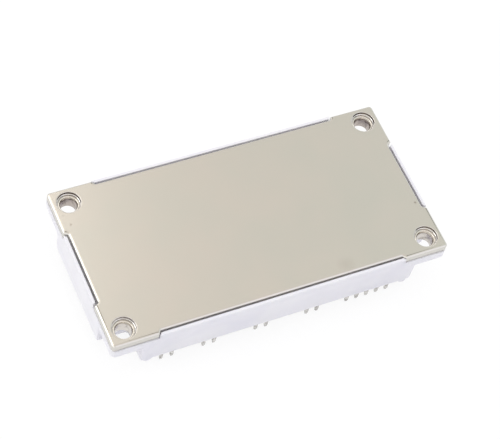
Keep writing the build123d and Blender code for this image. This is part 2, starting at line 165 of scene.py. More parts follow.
@dataclass(frozen=True)
class SatinNickelPlate:
    """Copper sheet, stamped and nickel plated: a warm satin grey that mirrors its surroundings softly.

    The sheet's rolling leaves very fine lines along the module, the bath leaves faint clouds, and the punch
    burnishes the countersinks smoother. Their brighter, more neutral colour is a painted highlight.
    """

    name: str = "nickel_plated_copper_stamped"
    colour: str = "#D6D2CC"
    cloud_colour: str = "#D1D0CA"
    # Painted highlight: the countersinks' colour, brighter and more neutral than the plate.
    countersink_highlight_colour: str = "#E2E1E0"
    speck_colour: str = "#7F6F66"
    cloud_mm: float = 26.0
    cloud_range: Pair = (0.25, 0.75)
    # Real rolling lines are 0.05 mm apart, drawn at 0.35 mm so that they show at all.
    line_mm: float = 0.35
    line_stretch: float = 0.02
    grit_mm: float = 0.5
    relief_strength: float = 0.03
    relief_mm: float = 0.01
    # From clear metal to clouds. It stays below 0.273, where the denoiser would draw a line round each cloud.
    roughness: Pair = (0.25, 0.27)
    burnished_roughness: float = 0.11
    # The smoother burnish and the painted highlight end at this multiple of the mouth's radius.
    burnish_and_highlight_reach: float = 1.03
    # X, Y and radius in mm, and how much of the brown shows.
    specks: tuple[tuple[float, float, float, float], ...] = (
        (-57.4, 16.6, 0.55, 0.3),
        (57.6, -11.5, 0.55, 0.55),
        (24.0, -26.4, 3.2, 0.1),
        (-58.6, 20.6, 0.5, 0.15),
    )
    # Noise adds up to one radius to the distance from a speck's middle. The speck is full up to the first of
    # these shares of its radius, and gone beyond the second.
    speck_range: Pair = (0.6, 1.7)

    def build(self) -> Material:
        """Build the material.

        Returns:
            The material.
        """
        material = bpy.data.materials.new(self.name)
        tree = emptied_tree(material)
        place = add_node(tree, "ShaderNodeTexCoord").outputs["Object"]
        clouds = add_node(tree, "ShaderNodeTexNoise", {
            "Vector": place, "Scale": 1 / (self.cloud_mm * MM), "Detail": 3.0, "Roughness": 0.55})
        along = add_node(tree, "ShaderNodeMapping", {"Vector": place, "Scale": (self.line_stretch, 1.0, 1.0)})
        lines = add_node(tree, "ShaderNodeTexNoise", {
            "Vector": along, "Scale": 1 / (self.line_mm * MM), "Detail": 2.0})
        grit = add_node(tree, "ShaderNodeTexNoise", {
            "Vector": place, "Scale": 1 / (self.grit_mm * MM), "Detail": 3.0})
        height = add_node(tree, "ShaderNodeMath", {0: lines, 1: grit}, operation="ADD")
        tone = add_node(tree, "ShaderNodeMapRange", {"Value": clouds, **between("From", self.cloud_range)},
                        interpolation_type="SMOOTHSTEP")
        colour = add_node(tree, "ShaderNodeMix", {
            "Factor": tone, "A": linear(self.colour), "B": linear(self.cloud_colour)}, data_type="RGBA")
        for spot in self.specks:
            colour = self.speck(tree, place, colour, spot)
        within = self.countersinks(tree, place)
        # Painted highlight: the countersinks take a brighter colour. Their lower roughness is the real
        # burnish.
        plate_colour_with_highlight = add_node(tree, "ShaderNodeMix", {
            "Factor": within, "A": colour, "B": linear(self.countersink_highlight_colour)}, data_type="RGBA")
        rough = add_node(tree, "ShaderNodeMapRange", {"Value": tone, **between("To", self.roughness)})
        smooth = add_node(tree, "ShaderNodeMix", {0: within, 2: rough, 3: self.burnished_roughness},
                          data_type="FLOAT")
        finish_surface(tree, {"Metallic": 1.0, "Base Color": plate_colour_with_highlight, "Roughness": smooth},
                       {"Height": height, "Strength": self.relief_strength, "Distance": self.relief_mm * MM})
        return material

    def countersinks(self, tree: Tree, place: Socket) -> Node:
        """Mark the walls of the four countersinks, by the flat distance from the nearest hole's axis.

        Args:
            tree: The material's node tree.
            place: Object coordinates.

        Returns:
            One within the countersinks, nought on the rest of the plate.
        """
        quarter = add_node(tree, "ShaderNodeVectorMath", {0: place}, operation="ABSOLUTE")
        flat = add_node(tree, "ShaderNodeVectorMath", {0: quarter, 1: (1.0, 1.0, 0.0)}, operation="MULTIPLY")
        away = add_node(tree, "ShaderNodeVectorMath", {0: flat, 1: (HOLES.x * MM, HOLES.y * MM, 0.0)},
                        operation="DISTANCE")
        edge = HOLES.mouth_radius * MM
        return add_node(tree, "ShaderNodeMapRange", {
            "Value": away, **between("From", (edge, self.burnish_and_highlight_reach * edge)),
            **between("To", (1.0, 0.0))})

    def speck(self, tree: Tree, place: Socket, colour: Node, spot: tuple[float, ...]) -> Node:
        """Lay one small brown speck of the heatsink face over a colour.

        Args:
            tree: The material's node tree.
            place: Object coordinates.
            colour: The colour under the speck.
            spot: X, Y and radius in mm, and share of the speck's colour.

        Returns:
            The colour with the speck.
        """
        x, y, radius, share = spot
        inner, outer = (part * radius * MM for part in self.speck_range)
        wobble = add_node(tree, "ShaderNodeTexNoise", {
            "Vector": place, "Scale": 1 / (radius * MM), "Detail": 2.0})
        away = add_node(tree, "ShaderNodeVectorMath", {0: place, 1: (x * MM, y * MM, 0.0)},
                        operation="DISTANCE")
        bent = add_node(tree, "ShaderNodeMath", {0: wobble, 1: radius * MM, 2: away},
                        operation="MULTIPLY_ADD")
        ink = add_node(tree, "ShaderNodeMapRange", {
            "Value": bent, **between("From", (inner, outer)), **between("To", (share, 0.0))})
        return add_node(tree, "ShaderNodeMix", {"Factor": ink, "A": colour, "B": linear(self.speck_colour)},
                        data_type="RGBA")


@dataclass(frozen=True)
class TurnedNickelRivet:
    """Brass tube, turned, nickel plated and flared: lip and bore in painted light and shade, with fine rings.

    Its UV map holds the turn in U and the distance along the profile in V, in metres.
    """

    name: str = "nickel_plated_brass_turned"
    # Painted highlight: lighter than the plate's nickel, so that the lip shines.
    colour: str = "#F0EDE7"
    # Painted shade in the bore. Real brown stain lies in blotches only within it.
    shaded_bore_colour: str = "#B2A79F"
    stain_colour: str = "#54453F"
    # Painted shade: the bore darkens and browns from the first of these heights down to the second, in mm.
    shade_from: float = -1.75
    shade_to: float = -2.3
    # How strong the painted shade is, in the front holes and in the rear ones.
    bore_shade: Pair = (0.45, 0.9)
    stain_range: Pair = (0.52, 0.7)
    # Tool marks are 0.08 mm apart in the real thing, drawn at 0.2 mm.
    ring_mm: float = 0.2
    ring_stretch: float = 0.0004
    blotch_mm: float = 1.8
    relief_strength: float = 0.3
    relief_mm: float = 0.02
    # From the bright lip to the shaded bore.
    roughness: Pair = (0.18, 0.32)

    def build(self) -> Material:
        """Build the material.

        Returns:
            The material.
        """
        material = bpy.data.materials.new(self.name)
        tree = emptied_tree(material)
        coordinates = add_node(tree, "ShaderNodeTexCoord")
        along = add_node(tree, "ShaderNodeMapping", {
            "Vector": coordinates.outputs["UV"], "Scale": (self.ring_stretch, 1.0, 1.0)})
        rings = add_node(tree, "ShaderNodeTexNoise", {
            "Vector": along, "Scale": 1 / (self.ring_mm * MM), "Detail": 2.0})
        blotches = add_node(tree, "ShaderNodeTexNoise", {
            "Vector": coordinates.outputs["Object"], "Scale": 1 / (self.blotch_mm * MM), "Detail": 4.0})
        # Painted shade: darker and browner down the bore and in the rear holes. The brown stain lies only
        # within it.
        axes = add_node(tree, "ShaderNodeSeparateXYZ", {"Vector": coordinates.outputs["Object"]})
        inside = add_node(tree, "ShaderNodeMapRange", {
            "Value": axes.outputs["Z"], **between("From", (self.shade_from * MM, self.shade_to * MM))})
        rear_shade = add_node(tree, "ShaderNodeMapRange", {
            "Value": axes.outputs["Y"], **between("From", (-HOLES.y * MM, HOLES.y * MM)),
            **between("To", self.bore_shade)})
        brown = add_node(tree, "ShaderNodeMath", {0: inside, 1: rear_shade}, operation="MULTIPLY")
        spots = add_node(tree, "ShaderNodeMapRange", {"Value": blotches, **between("From", self.stain_range)})
        stain = add_node(tree, "ShaderNodeMath", {0: brown, 1: spots}, operation="MULTIPLY")
        plain = add_node(tree, "ShaderNodeMix", {
            "Factor": brown, "A": linear(self.colour), "B": linear(self.shaded_bore_colour)}, data_type="RGBA")
        stained = add_node(tree, "ShaderNodeMix", {
            "Factor": stain, "A": plain, "B": linear(self.stain_colour)}, data_type="RGBA")
        rough = add_node(tree, "ShaderNodeMapRange", {"Value": brown, **between("To", self.roughness)})
        finish_surface(tree, {"Metallic": 1.0, "Base Color": stained, "Roughness": rough},
                       {"Height": rings, "Strength": self.relief_strength, "Distance": self.relief_mm * MM})
        return material


@dataclass(frozen=True)
class MouldedPolyester:
    """Glass-filled polyester, injection moulded: white with a cool cast, satin, from a spark-eroded mould."""

    name: str = "polyester_injection_moulded"
    colour: str = "#F3F2F9"
    flow_colour: str = "#ECEBF4"
    refraction: float = 1.57
    # Light soaks in by about this much, and green a little less than red and blue.
    soak_mm: float = 1.2
    soak_by_colour: Triple = (1.0, 0.97, 1.0)
    soak_share: float = 0.45
    flow_mm: float = 18.0
    flow_bend: float = 0.6
    flow_range: Pair = (0.35, 0.7)
    # The mould's grain is about 0.06 mm, drawn at 0.25 mm.
    grain_mm: float = 0.25
    relief_strength: float = 0.25
    relief_mm: float = 0.03
    roughness: Pair = (0.38, 0.48)

    def build(self) -> Material:
        """Build the material.

        Returns:
            The material.
        """
        material = bpy.data.materials.new(self.name)
        tree = emptied_tree(material)
        place = add_node(tree, "ShaderNodeTexCoord").outputs["Object"]
        flow = add_node(tree, "ShaderNodeTexNoise", {
            "Vector": place, "Scale": 1 / (self.flow_mm * MM), "Detail": 2.0, "Distortion": self.flow_bend})
        grain = add_node(tree, "ShaderNodeTexNoise", {
            "Vector": place, "Scale": 1 / (self.grain_mm * MM), "Detail": 3.0, "Roughness": 0.6})
        tone = add_node(tree, "ShaderNodeMapRange", {"Value": flow, **between("From", self.flow_range)})
        colour = add_node(tree, "ShaderNodeMix", {
            "Factor": tone, "A": linear(self.colour), "B": linear(self.flow_colour)}, data_type="RGBA")
        rough = add_node(tree, "ShaderNodeMapRange", {"Value": tone, **between("To", self.roughness)})
        surface = {
            "IOR": self.refraction, "Subsurface Weight": self.soak_share,
            "Subsurface Radius": self.soak_by_colour, "Subsurface Scale": self.soak_mm * MM,
            "Base Color": colour, "Roughness": rough,
        }
        finish_surface(tree, surface,
                       {"Height": grain, "Strength": self.relief_strength, "Distance": self.relief_mm * MM})
        return material


@dataclass(frozen=True)
class TwoToneFinish:
    """A plain finish: two tones in blotches, and a fine grain that the roughness and the bump follow."""

    name: str
    colour: str
    second_colour: str
    blotch_mm: float
    grain_mm: float
    roughness: float
    metallic: float = 0.0
    relief_mm: float = 0.02
    relief_strength: float = 0.3
    stretch: Triple = (1.0, 1.0, 1.0)
    blotch_range: Pair = (0.35, 0.7)
    grain_range: Pair = (0.3, 0.7)
    # How far the roughness goes below and above its middle.
    below: float = 0.06
    above: float = 0.08

    def build(self) -> Material:
        """Build the material.

        Returns:
            The material.
        """
        material = bpy.data.materials.new(self.name)
        tree = emptied_tree(material)
        place = add_node(tree, "ShaderNodeTexCoord").outputs["Object"]
        shaped = add_node(tree, "ShaderNodeMapping", {"Vector": place, "Scale": self.stretch})
        blotches = add_node(tree, "ShaderNodeTexNoise", {
            "Vector": place, "Scale": 1 / (self.blotch_mm * MM), "Detail": 3.0})
        grain = add_node(tree, "ShaderNodeTexNoise", {
            "Vector": shaped, "Scale": 1 / (self.grain_mm * MM), "Detail": 3.0})
        tone = add_node(tree, "ShaderNodeMapRange", {"Value": blotches, **between("From", self.blotch_range)})
        colour = add_node(tree, "ShaderNodeMix", {
            "Factor": tone, "A": linear(self.colour), "B": linear(self.second_colour)}, data_type="RGBA")
        rough = add_node(tree, "ShaderNodeMapRange", {
            "Value": grain, **between("From", self.grain_range),
            **between("To", (self.roughness - self.below, self.roughness + self.above))})
        finish_surface(tree, {"Metallic": self.metallic, "Base Color": colour, "Roughness": rough},
                       {"Height": grain, "Strength": self.relief_strength, "Distance": self.relief_mm * MM})
        return material


# Stamped copper with a matt tin coat: light grey with darker blotches, and drawing lines along the pin.
MATT_TIN = TwoToneFinish("tinned_copper_stamped", "#DDDBD8", "#918E8B", 0.8, 0.12, 0.2, metallic=1.0,
                         stretch=(1.0, 1.0, 0.1))
# Copper sheet bonded to the ceramic and etched: salmon red, matt.
ETCHED_COPPER = TwoToneFinish("copper_etched", "#C98F70", "#B87B5C", 3.0, 0.15, 0.38, metallic=1.0)
# Fired alumina: white, matt and dense.
FIRED_ALUMINA = TwoToneFinish("alumina_fired", "#EFEEE9", "#E4E2DB", 4.0, 0.1, 0.55)
# Silicon chip with a thin metal layer on top: dark blue grey with a satin shine.
METALLISED_SILICON = TwoToneFinish("silicon_metallised", "#8A8E97", "#767B86", 1.5, 0.08, 0.3, metallic=0.9)
# Drawn aluminium wire: bright and smooth.
DRAWN_ALUMINIUM = TwoToneFinish("aluminium_drawn", "#D5D6D8", "#C4C5C8", 1.0, 0.05, 0.25, metallic=1.0)
# Tin solder after its furnace pass: dull grey with soft ripples.
REFLOWED_SOLDER = TwoToneFinish("solder_reflowed", "#A9A8A6", "#969593", 1.5, 0.3, 0.35, metallic=1.0,
                                relief_mm=0.04)
# Silicone adhesive, cured in its groove: off-white and matt.
CURED_SILICONE = TwoToneFinish("silicone_cured", "#D6D5CF", "#CBC9C2", 3.0, 0.4, 0.5, relief_mm=0.05)
# Sintered ceramic of the temperature sensor: near black.
SINTERED_CERAMIC = TwoToneFinish("ceramic_sintered", "#2E2D2C", "#3A3937", 1.0, 0.1, 0.5)


# Surfaces


def ring_faces(rows: int, columns: int, closed_rows: bool = False) -> np.ndarray:
    """Quads of a grid whose columns run round and close: a point, its two neighbours and the one across.

    Args:
        rows: Number of rings.
        columns: Number of points on a ring.
        closed_rows: Whether the last ring joins the first.

    Returns:
        Point numbers, four to a face.
    """
    row = np.arange(rows if closed_rows else rows - 1)[:, None]
    column = np.arange(columns)[None, :]
    after = (row + 1) % rows
    beside = (column + 1) % columns
    quads = [row * columns + column, row * columns + beside,
             after * columns + beside, after * columns + column]
    return np.stack(quads, axis=-1).reshape(-1, 4)


def rounded_outline(corners: np.ndarray, radii: np.ndarray, steps: int) -> tuple[np.ndarray, np.ndarray]:
    """Round the corners of a polygon that runs anticlockwise.

    Each corner with turn angle t and radius r is left r times tan(t / 2) before it, and the arc turns the
    outward direction of the edge before it by a growing share of t.

    Args:
        corners: Corner points, two values each.
        radii: One radius for each corner.
        steps: Points on each arc.

    Returns:
        The outline's points, and the outward direction at each.
    """
    ahead = np.roll(corners, -1, axis=0) - corners
    ahead /= np.linalg.norm(ahead, axis=1, keepdims=True)
    before = np.roll(ahead, 1, axis=0)
    across = before[:, 0] * ahead[:, 1] - before[:, 1] * ahead[:, 0]
    turn = np.arctan2(across, (before * ahead).sum(axis=1))
    reach = radii * np.tan(np.abs(turn) / 2)
    outward = np.stack([before[:, 1], -before[:, 0]], axis=1)
    signed = radii * np.sign(turn)
    centre = corners - before * reach[:, None] - outward * signed[:, None]
    angle = turn[:, None] * np.linspace(0, 1, steps)[None, :]
    cos, sin = np.cos(angle), np.sin(angle)
    normal = np.stack([cos * outward[:, None, 0] - sin * outward[:, None, 1],
                       sin * outward[:, None, 0] + cos * outward[:, None, 1]], axis=-1)
    points = centre[:, None, :] + normal * signed[:, None, None]
    return points.reshape(-1, 2), normal.reshape(-1, 2)


def carried_profile(points: np.ndarray, outward: np.ndarray, profile: np.ndarray) -> np.ndarray:
    """Carry a profile round an outline: each ring is the outline moved inwards by the profile's first value.

    Args:
        points: The outline, in mm.
        outward: Outward direction at each point.
        profile: Inward distance and height of each ring, in mm.

    Returns:
        Rings of three-valued points, in mm.
    """
    flat = points[None] - outward[None] * profile[:, 0, None, None]
    height = np.broadcast_to(profile[:, 1, None, None], (*flat.shape[:2], 1))
    return np.concatenate([flat, height], axis=-1)


def turned_profile(profile: np.ndarray, segments: int, axis: Pair) -> np.ndarray:
    """Turn a profile round an upright axis: x and y are the radius times the cosine and sine of the turn.

    Args:
        profile: Radius and height of each ring, in mm.
        segments: Points round the axis.
        axis: Place of the axis, in mm.

    Returns:
        Rings of three-valued points, in mm.
    """
    turn = np.arange(segments) / segments * 2 * np.pi
    x = axis[0] + profile[:, 0, None] * np.cos(turn)[None]
    y = axis[1] + profile[:, 0, None] * np.sin(turn)[None]
    z = np.broadcast_to(profile[:, 1, None], x.shape)
    return np.stack([x, y, z], axis=-1)


def quarter_round(start: Pair, end: Pair, swing: bool, steps: int) -> np.ndarray:
    """A quarter of an ellipse between two points of a profile: one value by the sine, one by the cosine.

    Args:
        start: First point.
        end: Last point.
        swing: Whether the curve leaves its start along the second axis rather than the first.
        steps: Number of points.

    Returns:
        The points, both ends among them.
    """
    angle = np.linspace(0, np.pi / 2, steps)
    slow, fast = 1 - np.cos(angle), np.sin(angle)
    first, second = (slow, fast) if swing else (fast, slow)
    (x0, y0), (x1, y1) = start, end
    return np.stack([x0 + (x1 - x0) * first, y0 + (y1 - y0) * second], axis=1)


def soft_bevel(run: float, drop: float, steps: int = 12, fullness: float = 1.35) -> np.ndarray:
    """A bevel with rounded ends: a superellipse, whose two shares, each to the power fullness, add up to one.

    Args:
        run: How far it reaches in from the side.
        drop: How far it reaches down from the face.
        steps: Number of points.
        fullness: One for a straight bevel, two for a quarter of an ellipse.

    Returns:
        Inward distance and height of each point, from the face to the side.
    """
    angle = np.linspace(0, np.pi / 2, steps)
    inward = run * (1 - np.sin(angle) ** (2 / fullness))
    height = -drop * (1 - np.cos(angle) ** (2 / fullness))
    return np.stack([inward, height], axis=1)


@dataclass
class Shell:
    """Points and faces that grow piece by piece into one mesh."""

    points: list[np.ndarray] = field(default_factory=list)
    faces: list[np.ndarray] = field(default_factory=list)
    count: int = 0

    def add(self, rings: np.ndarray, closed_rows: bool = False, inside_out: bool = False) -> None:
        """Add a grid of rings.

        Args:
            rings: Rings of points, in mm.
            closed_rows: Whether the last ring joins the first.
            inside_out: Whether the faces are turned round.
        """
        rows, columns = rings.shape[:2]
        faces = ring_faces(rows, columns, closed_rows) + self.count
        self.faces.append(faces[:, ::-1] if inside_out else faces)
        self.points.append(rings.reshape(-1, 3))
        self.count += rows * columns

    def mesh(self, name: str) -> bpy.types.Mesh:
        """Make the Blender mesh, in metres.

        Args:
            name: Name of the mesh.

        Returns:
            The mesh.
        """
        mesh = bpy.data.meshes.new(name)
        mesh.from_pydata(np.concatenate(self.points) * MM, [], np.concatenate(self.faces).tolist())
        return mesh


@contextmanager
def opened(mesh: bpy.types.Mesh) -> Iterator[bmesh.types.BMesh]:
    """Open a mesh for work on its edges and faces, and write it back at the end.

    Args:
        mesh: The mesh, in metres.

    Yields:
        The open mesh.
    """
    work = bmesh.new()
    work.from_mesh(mesh)
    yield work
    work.to_mesh(mesh)
    work.free()


def fill_flat(mesh: bpy.types.Mesh, height: float, upwards: bool) -> None:
    """Close the open edges of a mesh at one height with a flat face that keeps its holes.

    Args:
        mesh: The mesh, in metres.
        height: Height of the edges, in mm.
        upwards: Whether the new faces look up.
    """
    with opened(mesh) as work:
        edges = [edge for edge in work.edges if edge.is_boundary
                 and all(abs(vertex.co.z - height * MM) < SAME_HEIGHT for vertex in edge.verts)]
        made = bmesh.ops.triangle_fill(work, use_beauty=True, use_dissolve=False, edges=edges)["geom"]
        for face in made:
            if isinstance(face, bmesh.types.BMFace) and (face.normal.z > 0) != upwards:
                face.normal_flip()


def add_object(name: str, data: bpy.types.ID) -> bpy.types.Object:
    """Make an object and put it in the scene.

    Args:
        name: Name of the object.
        data: Its mesh, lamp or camera.

    Returns:
        The object.
    """
    made = bpy.data.objects.new(name, data)
    bpy.context.scene.collection.objects.link(made)
    return made


def finished_piece(mesh: bpy.types.Mesh, material: Material, nodes: tuple[str, ...],
                   sharp_degrees: float = 50.0) -> bpy.types.Object:
    """Make an object of a mesh, shade it smooth, dress it and put it in the place of CAD nodes.

    Args:
        mesh: The finished mesh, in metres.
        material: The finish.
        nodes: CAD nodes that it stands for.
        sharp_degrees: Edges that bend more than this stay sharp.

    Returns:
        The object.
    """
    mesh.polygons.foreach_set("use_smooth", np.ones(len(mesh.polygons), dtype=bool))
    mesh.set_sharp_from_angle(angle=math.radians(sharp_degrees))
    mesh.materials.clear()
    mesh.materials.append(material)
    piece = add_object(mesh.name, mesh)
    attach(piece, ROOT)
    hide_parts(*nodes)
    LOG.info("%s: %d faces, stands for %s", piece.name, len(mesh.polygons), ", ".join(nodes))
    return piece


# Sub-assemblies


@dataclass
class Baseplate:
    """Stamped copper plate with a recess in each edge, bevelled upper edges and countersunk rivet holes."""

    half_length: float = 60.9
    half_width: float = 30.7
    thickness: float = 3.0
    corner_radius: float = 1.2
    long_recess_depth: float = 1.25
    short_recess_depth: float = 1.5
    recess_slope_run: float = 1.0
    long_recess_half: float = 43.9
    short_recess_half: float = 13.4
    shoulder_radius: float = 0.5
    bevel_run: float = 0.62
    bevel_drop: float = 0.72
    burr_round: float = 0.12
    flat_band: float = 0.25
    countersink_depth: float = 2.2
    hole_radius: float = 3.35
    lip_round: float = 0.14
    lip_run: float = 0.05
    # Radius and height of the corners of the step that the punch leaves half-way down a countersink.
    punch_step: tuple[Pair, ...] = ((3.9, -0.78), (3.86, -0.88), (3.74, -0.92), (3.7, -0.98))
    corner_points: int = 7
    lip_points: int = 6
    burr_points: int = 4
    segments: int = 72

    def corners(self) -> tuple[np.ndarray, np.ndarray]:
        """The outline's corners, anticlockwise from the front left. The second half is the first, turned.

        Returns:
            Corner points and their radii.
        """
        x, y = self.half_length, self.half_width
        long_floor, short_floor = self.long_recess_half, self.short_recess_half
        run, deep, end_deep = self.recess_slope_run, self.long_recess_depth, self.short_recess_depth
        front = [(-x, -y), (-long_floor - run, -y), (-long_floor, deep - y), (long_floor, deep - y),
                 (long_floor + run, -y)]
        right = [(x, -y), (x, -short_floor - run), (x - end_deep, -short_floor), (x - end_deep, short_floor),
                 (x, short_floor + run)]
        half = np.array(front + right)
        side_radii = [self.corner_radius, *[self.shoulder_radius] * 4]
        return np.concatenate([half, -half]), np.tile(side_radii, 4)

    def hole_profile(self) -> np.ndarray:
        """The way down one hole: flat ring, rounded lip, cone with the punch's step, straight wall.

        Returns:
            Radius and height of each ring.
        """
        mouth = HOLES.mouth_radius
        lip = mouth + self.lip_round
        return np.concatenate([
            [(lip + self.flat_band, 0.0)],
            quarter_round((lip, 0.0), (mouth - self.lip_run, -self.lip_round), False, self.lip_points),
            self.punch_step,
            [(self.hole_radius, -self.countersink_depth), (self.hole_radius, -self.thickness)],
        ])

    def build(self, material: Material) -> bpy.types.Object:
        """Build the plate: a bevelled profile carried round the outline, four holes, and two flat faces.

        Args:
            material: The finish.

        Returns:
            The plate.
        """
        points, outward = rounded_outline(*self.corners(), steps=self.corner_points)
        burr, bottom = self.burr_round, -self.thickness
        profile = np.concatenate([
            [(self.bevel_run + self.flat_band, 0.0)],
            soft_bevel(self.bevel_run, self.bevel_drop),
            quarter_round((0.0, bottom + burr), (burr, bottom), True, self.burr_points),
        ])
        shell = Shell()
        shell.add(carried_profile(points, outward, profile), inside_out=True)
        for axis in HOLES.axes():
            shell.add(turned_profile(self.hole_profile(), self.segments, axis))
        mesh = shell.mesh("baseplate_stamped")
        fill_flat(mesh, 0.0, upwards=True)
        fill_flat(mesh, bottom, upwards=False)
        return finished_piece(mesh, material, ("baseplate",))


@dataclass
class HollowRivets:
    """Four hollow rivets: flat head under the flange, tube, and a collar flared into the countersink."""

    bore_radius: float = 2.8
    wall: float = 0.45
    head_radius: float = 4.5
    head_bottom: float = -6.5
    head_top: float = -5.7
    flare_start: float = -2.2
    collar_top: float = -1.5
    flare: float = 0.25
    flare_power: float = 1.25
    edge_round: float = 0.12
    flare_points: int = 8
    lip_points: int = 9
    edge_points: int = 4
    segments: int = 96

    def profile(self) -> np.ndarray:
        """The way round the wall: up the bore, over the collar's lip, down outside and round the head.

        The collar widens by a power of its height, and its lip is half an ellipse from wall to wall.

        Returns:
            Radius and height of each ring.
        """
        bore, outer = self.bore_radius, self.bore_radius + self.wall
        edge, head, arc = self.edge_round, self.head_radius, self.edge_points
        lip_height = 2 * edge
        share = np.linspace(0, 1, self.flare_points)
        height = self.flare_start + (self.collar_top - lip_height - self.flare_start) * share
        widening = self.flare * share ** self.flare_power
        inner_flare = np.stack([bore + widening, height], axis=1)
        outer_flare = np.stack([outer + widening, height], axis=1)[::-1]
        lip_turn = np.linspace(0, np.pi, self.lip_points)
        lip_centre = (inner_flare[-1, 0] + outer_flare[0, 0]) / 2
        lip = np.stack([lip_centre - self.wall / 2 * np.cos(lip_turn),
                        self.collar_top - lip_height * (1 - np.sin(lip_turn))], axis=1)
        return np.concatenate([
            quarter_round((bore + edge, self.head_bottom), (bore, self.head_bottom + edge), False, arc),
            inner_flare,
            lip[1:-1],
            outer_flare,
            quarter_round((outer, self.head_top + edge), (outer + edge, self.head_top), True, arc),
            quarter_round((head - edge, self.head_top), (head, self.head_top - edge), False, arc),
            quarter_round((head, self.head_bottom + edge), (head - edge, self.head_bottom), True, arc),
        ])

    def build(self, material: Material) -> bpy.types.Object:
        """Build the four rivets as one piece, with a UV map of turn and distance along the profile.

        Args:
            material: The finish.

        Returns:
            The rivets.
        """
        profile = self.profile()
        shell = Shell()
        for axis in HOLES.axes():
            shell.add(turned_profile(profile, self.segments, axis), closed_rows=True, inside_out=True)
        mesh = shell.mesh("hollow_rivets_flared")
        step = np.linalg.norm(np.diff(profile, axis=0), axis=1)
        walked = np.concatenate([[0.0], np.cumsum(step)]) * MM
        corner_point = np.empty(len(mesh.loops), dtype=np.int32)
        mesh.loops.foreach_get("vertex_index", corner_point)
        within = corner_point % (len(profile) * self.segments)
        uv = np.stack([(within % self.segments) / self.segments, walked[within // self.segments]], axis=1)
        mesh.uv_layers.new(name="turn_and_profile").data.foreach_set("uv", uv.astype(np.float32).ravel())
        return finished_piece(mesh, material, ("hollow_rivets",))


@dataclass
class SolderPins:
    """A group of solder pins on one long side: a leg with a tapered tip, and a foot on the inner shelf."""

    node: str
    steps: tuple[int, ...]
    side: Side
    grid: float = 3.81
    row_y: float = 29.5
    width: float = 1.15
    depth: float = 1.0
    shelf_z: float = -7.0
    edge_round: float = 0.2
    corner_points: int = 4
    # The rounding of the leg's top, and how much of it the ring at the top's level takes.
    end_round: float = 0.16
    top_share: float = 0.7
    # The first and last rings are the section times this.
    end_share: float = 0.15
    # The taper: how far in the section is at heights above the tip.
    tip_z: float = -20.5
    taper: tuple[Pair, ...] = ((0.0, 1.15), (0.02, 1.0), (0.1485, 0.45), (0.2565, 0.16), (0.43, 0.0))
    foot_thickness: float = 0.8
    foot_end_y: float = 24.9
    # The foot's rounded end: how far in the section is, and how far along the foot.
    foot_end: tuple[Pair, ...] = ((0.35, 0.0), (0.05, 0.0), (0.0, 0.08))

    def section(self, width: float, depth: float) -> tuple[np.ndarray, np.ndarray]:
        """A rectangle with rounded corners.

        Args:
            width: Its size along the first axis.
            depth: Its size along the second.

        Returns:
            Its points, and the outward direction at each.
        """
        corners = np.array([(-width, -depth), (width, -depth), (width, depth), (-width, depth)]) / 2
        return rounded_outline(corners, np.full(4, self.edge_round), self.corner_points)

    def leg(self, x: float) -> np.ndarray:
        """One leg from its top down to its rounded tip: the section moves in where the leg tapers.

        Args:
            x: Place of the pin along the row.

        Returns:
            Rings of points.
        """
        points, outward = self.section(self.width, self.depth)
        top, tip = self.shelf_z, self.tip_z
        profile = np.array([
            (0.0, top), (self.top_share * self.end_round, top), (0.0, top - self.end_round),
            *((inset, tip + above) for inset, above in self.taper), (0.0, tip),
        ])
        rings = carried_profile(points, outward, profile)
        rings[[0, -1], :, :2] = self.end_share * points
        return rings + np.array([x, self.side.value * self.row_y, 0.0])

    def foot(self, x: float) -> np.ndarray:
        """One foot along Y, at the level of the shelf: the section carried from its rounded end to the leg.

        Args:
            x: Place of the pin along the row.

        Returns:
            Rings of points.
        """
        points, outward = self.section(self.width, self.foot_thickness)
        profile = np.array([*self.foot_end, (0.0, self.row_y - self.foot_end_y)])
        rings = carried_profile(points, outward, profile)
        along = self.side.value * (self.foot_end_y + rings[..., 2])
        middle_z = self.shelf_z - self.foot_thickness / 2
        return np.stack([x + rings[..., 0], along, middle_z + rings[..., 1]], axis=-1)

    def build(self, material: Material) -> bpy.types.Object:
        """Build the pins of the group as one piece.

        Args:
            material: The finish.

        Returns:
            The pins.
        """
        shell = Shell()
        for step in self.steps:
            shell.add(self.leg(step * self.grid), inside_out=True)
            shell.add(self.foot(step * self.grid))
        mesh = shell.mesh(self.node + "_tinned")
        with opened(mesh) as work:
            bmesh.ops.holes_fill(work, edges=work.edges, sides=0)
            bmesh.ops.recalc_face_normals(work, faces=work.faces)
        return finished_piece(mesh, material, (self.node,))


@dataclass
class MouldedPart:
    """A moulded part with the form of its CAD node, and the small radii that a mould leaves on its edges."""

    node: str
    edge_round: float
    segments: int = 3
    # Points nearer than this become one point, and faces that bend by less than this one face.
    merge_mm: float = 0.002
    flat_degrees: float = 1.0
    # Edges that bend by more than these stay sharp in the shading, and get the small radius.
    sharp_degrees: float = 30.0
    rounded_degrees: float = 40.0

    def build(self, material: Material) -> bpy.types.Object:
        """Build the part: merged copy, flat faces joined, edges rounded.

        Args:
            material: The finish.

        Returns:
            The part.
        """
        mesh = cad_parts[self.node].data.copy()
        mesh.name = self.node + "_moulded"
        with opened(mesh) as work:
            bmesh.ops.remove_doubles(work, verts=work.verts, dist=self.merge_mm * MM)
            bmesh.ops.dissolve_limit(work, angle_limit=math.radians(self.flat_degrees),
                                     verts=work.verts, edges=work.edges)
        piece = finished_piece(mesh, material, (self.node,), self.sharp_degrees)
        bevel = piece.modifiers.new("mould_radius", "BEVEL")
        bevel.width = self.edge_round * MM
        bevel.segments = self.segments
        bevel.limit_method = "ANGLE"
        bevel.angle_limit = math.radians(self.rounded_degrees)
        bevel.harden_normals = True
        return piece


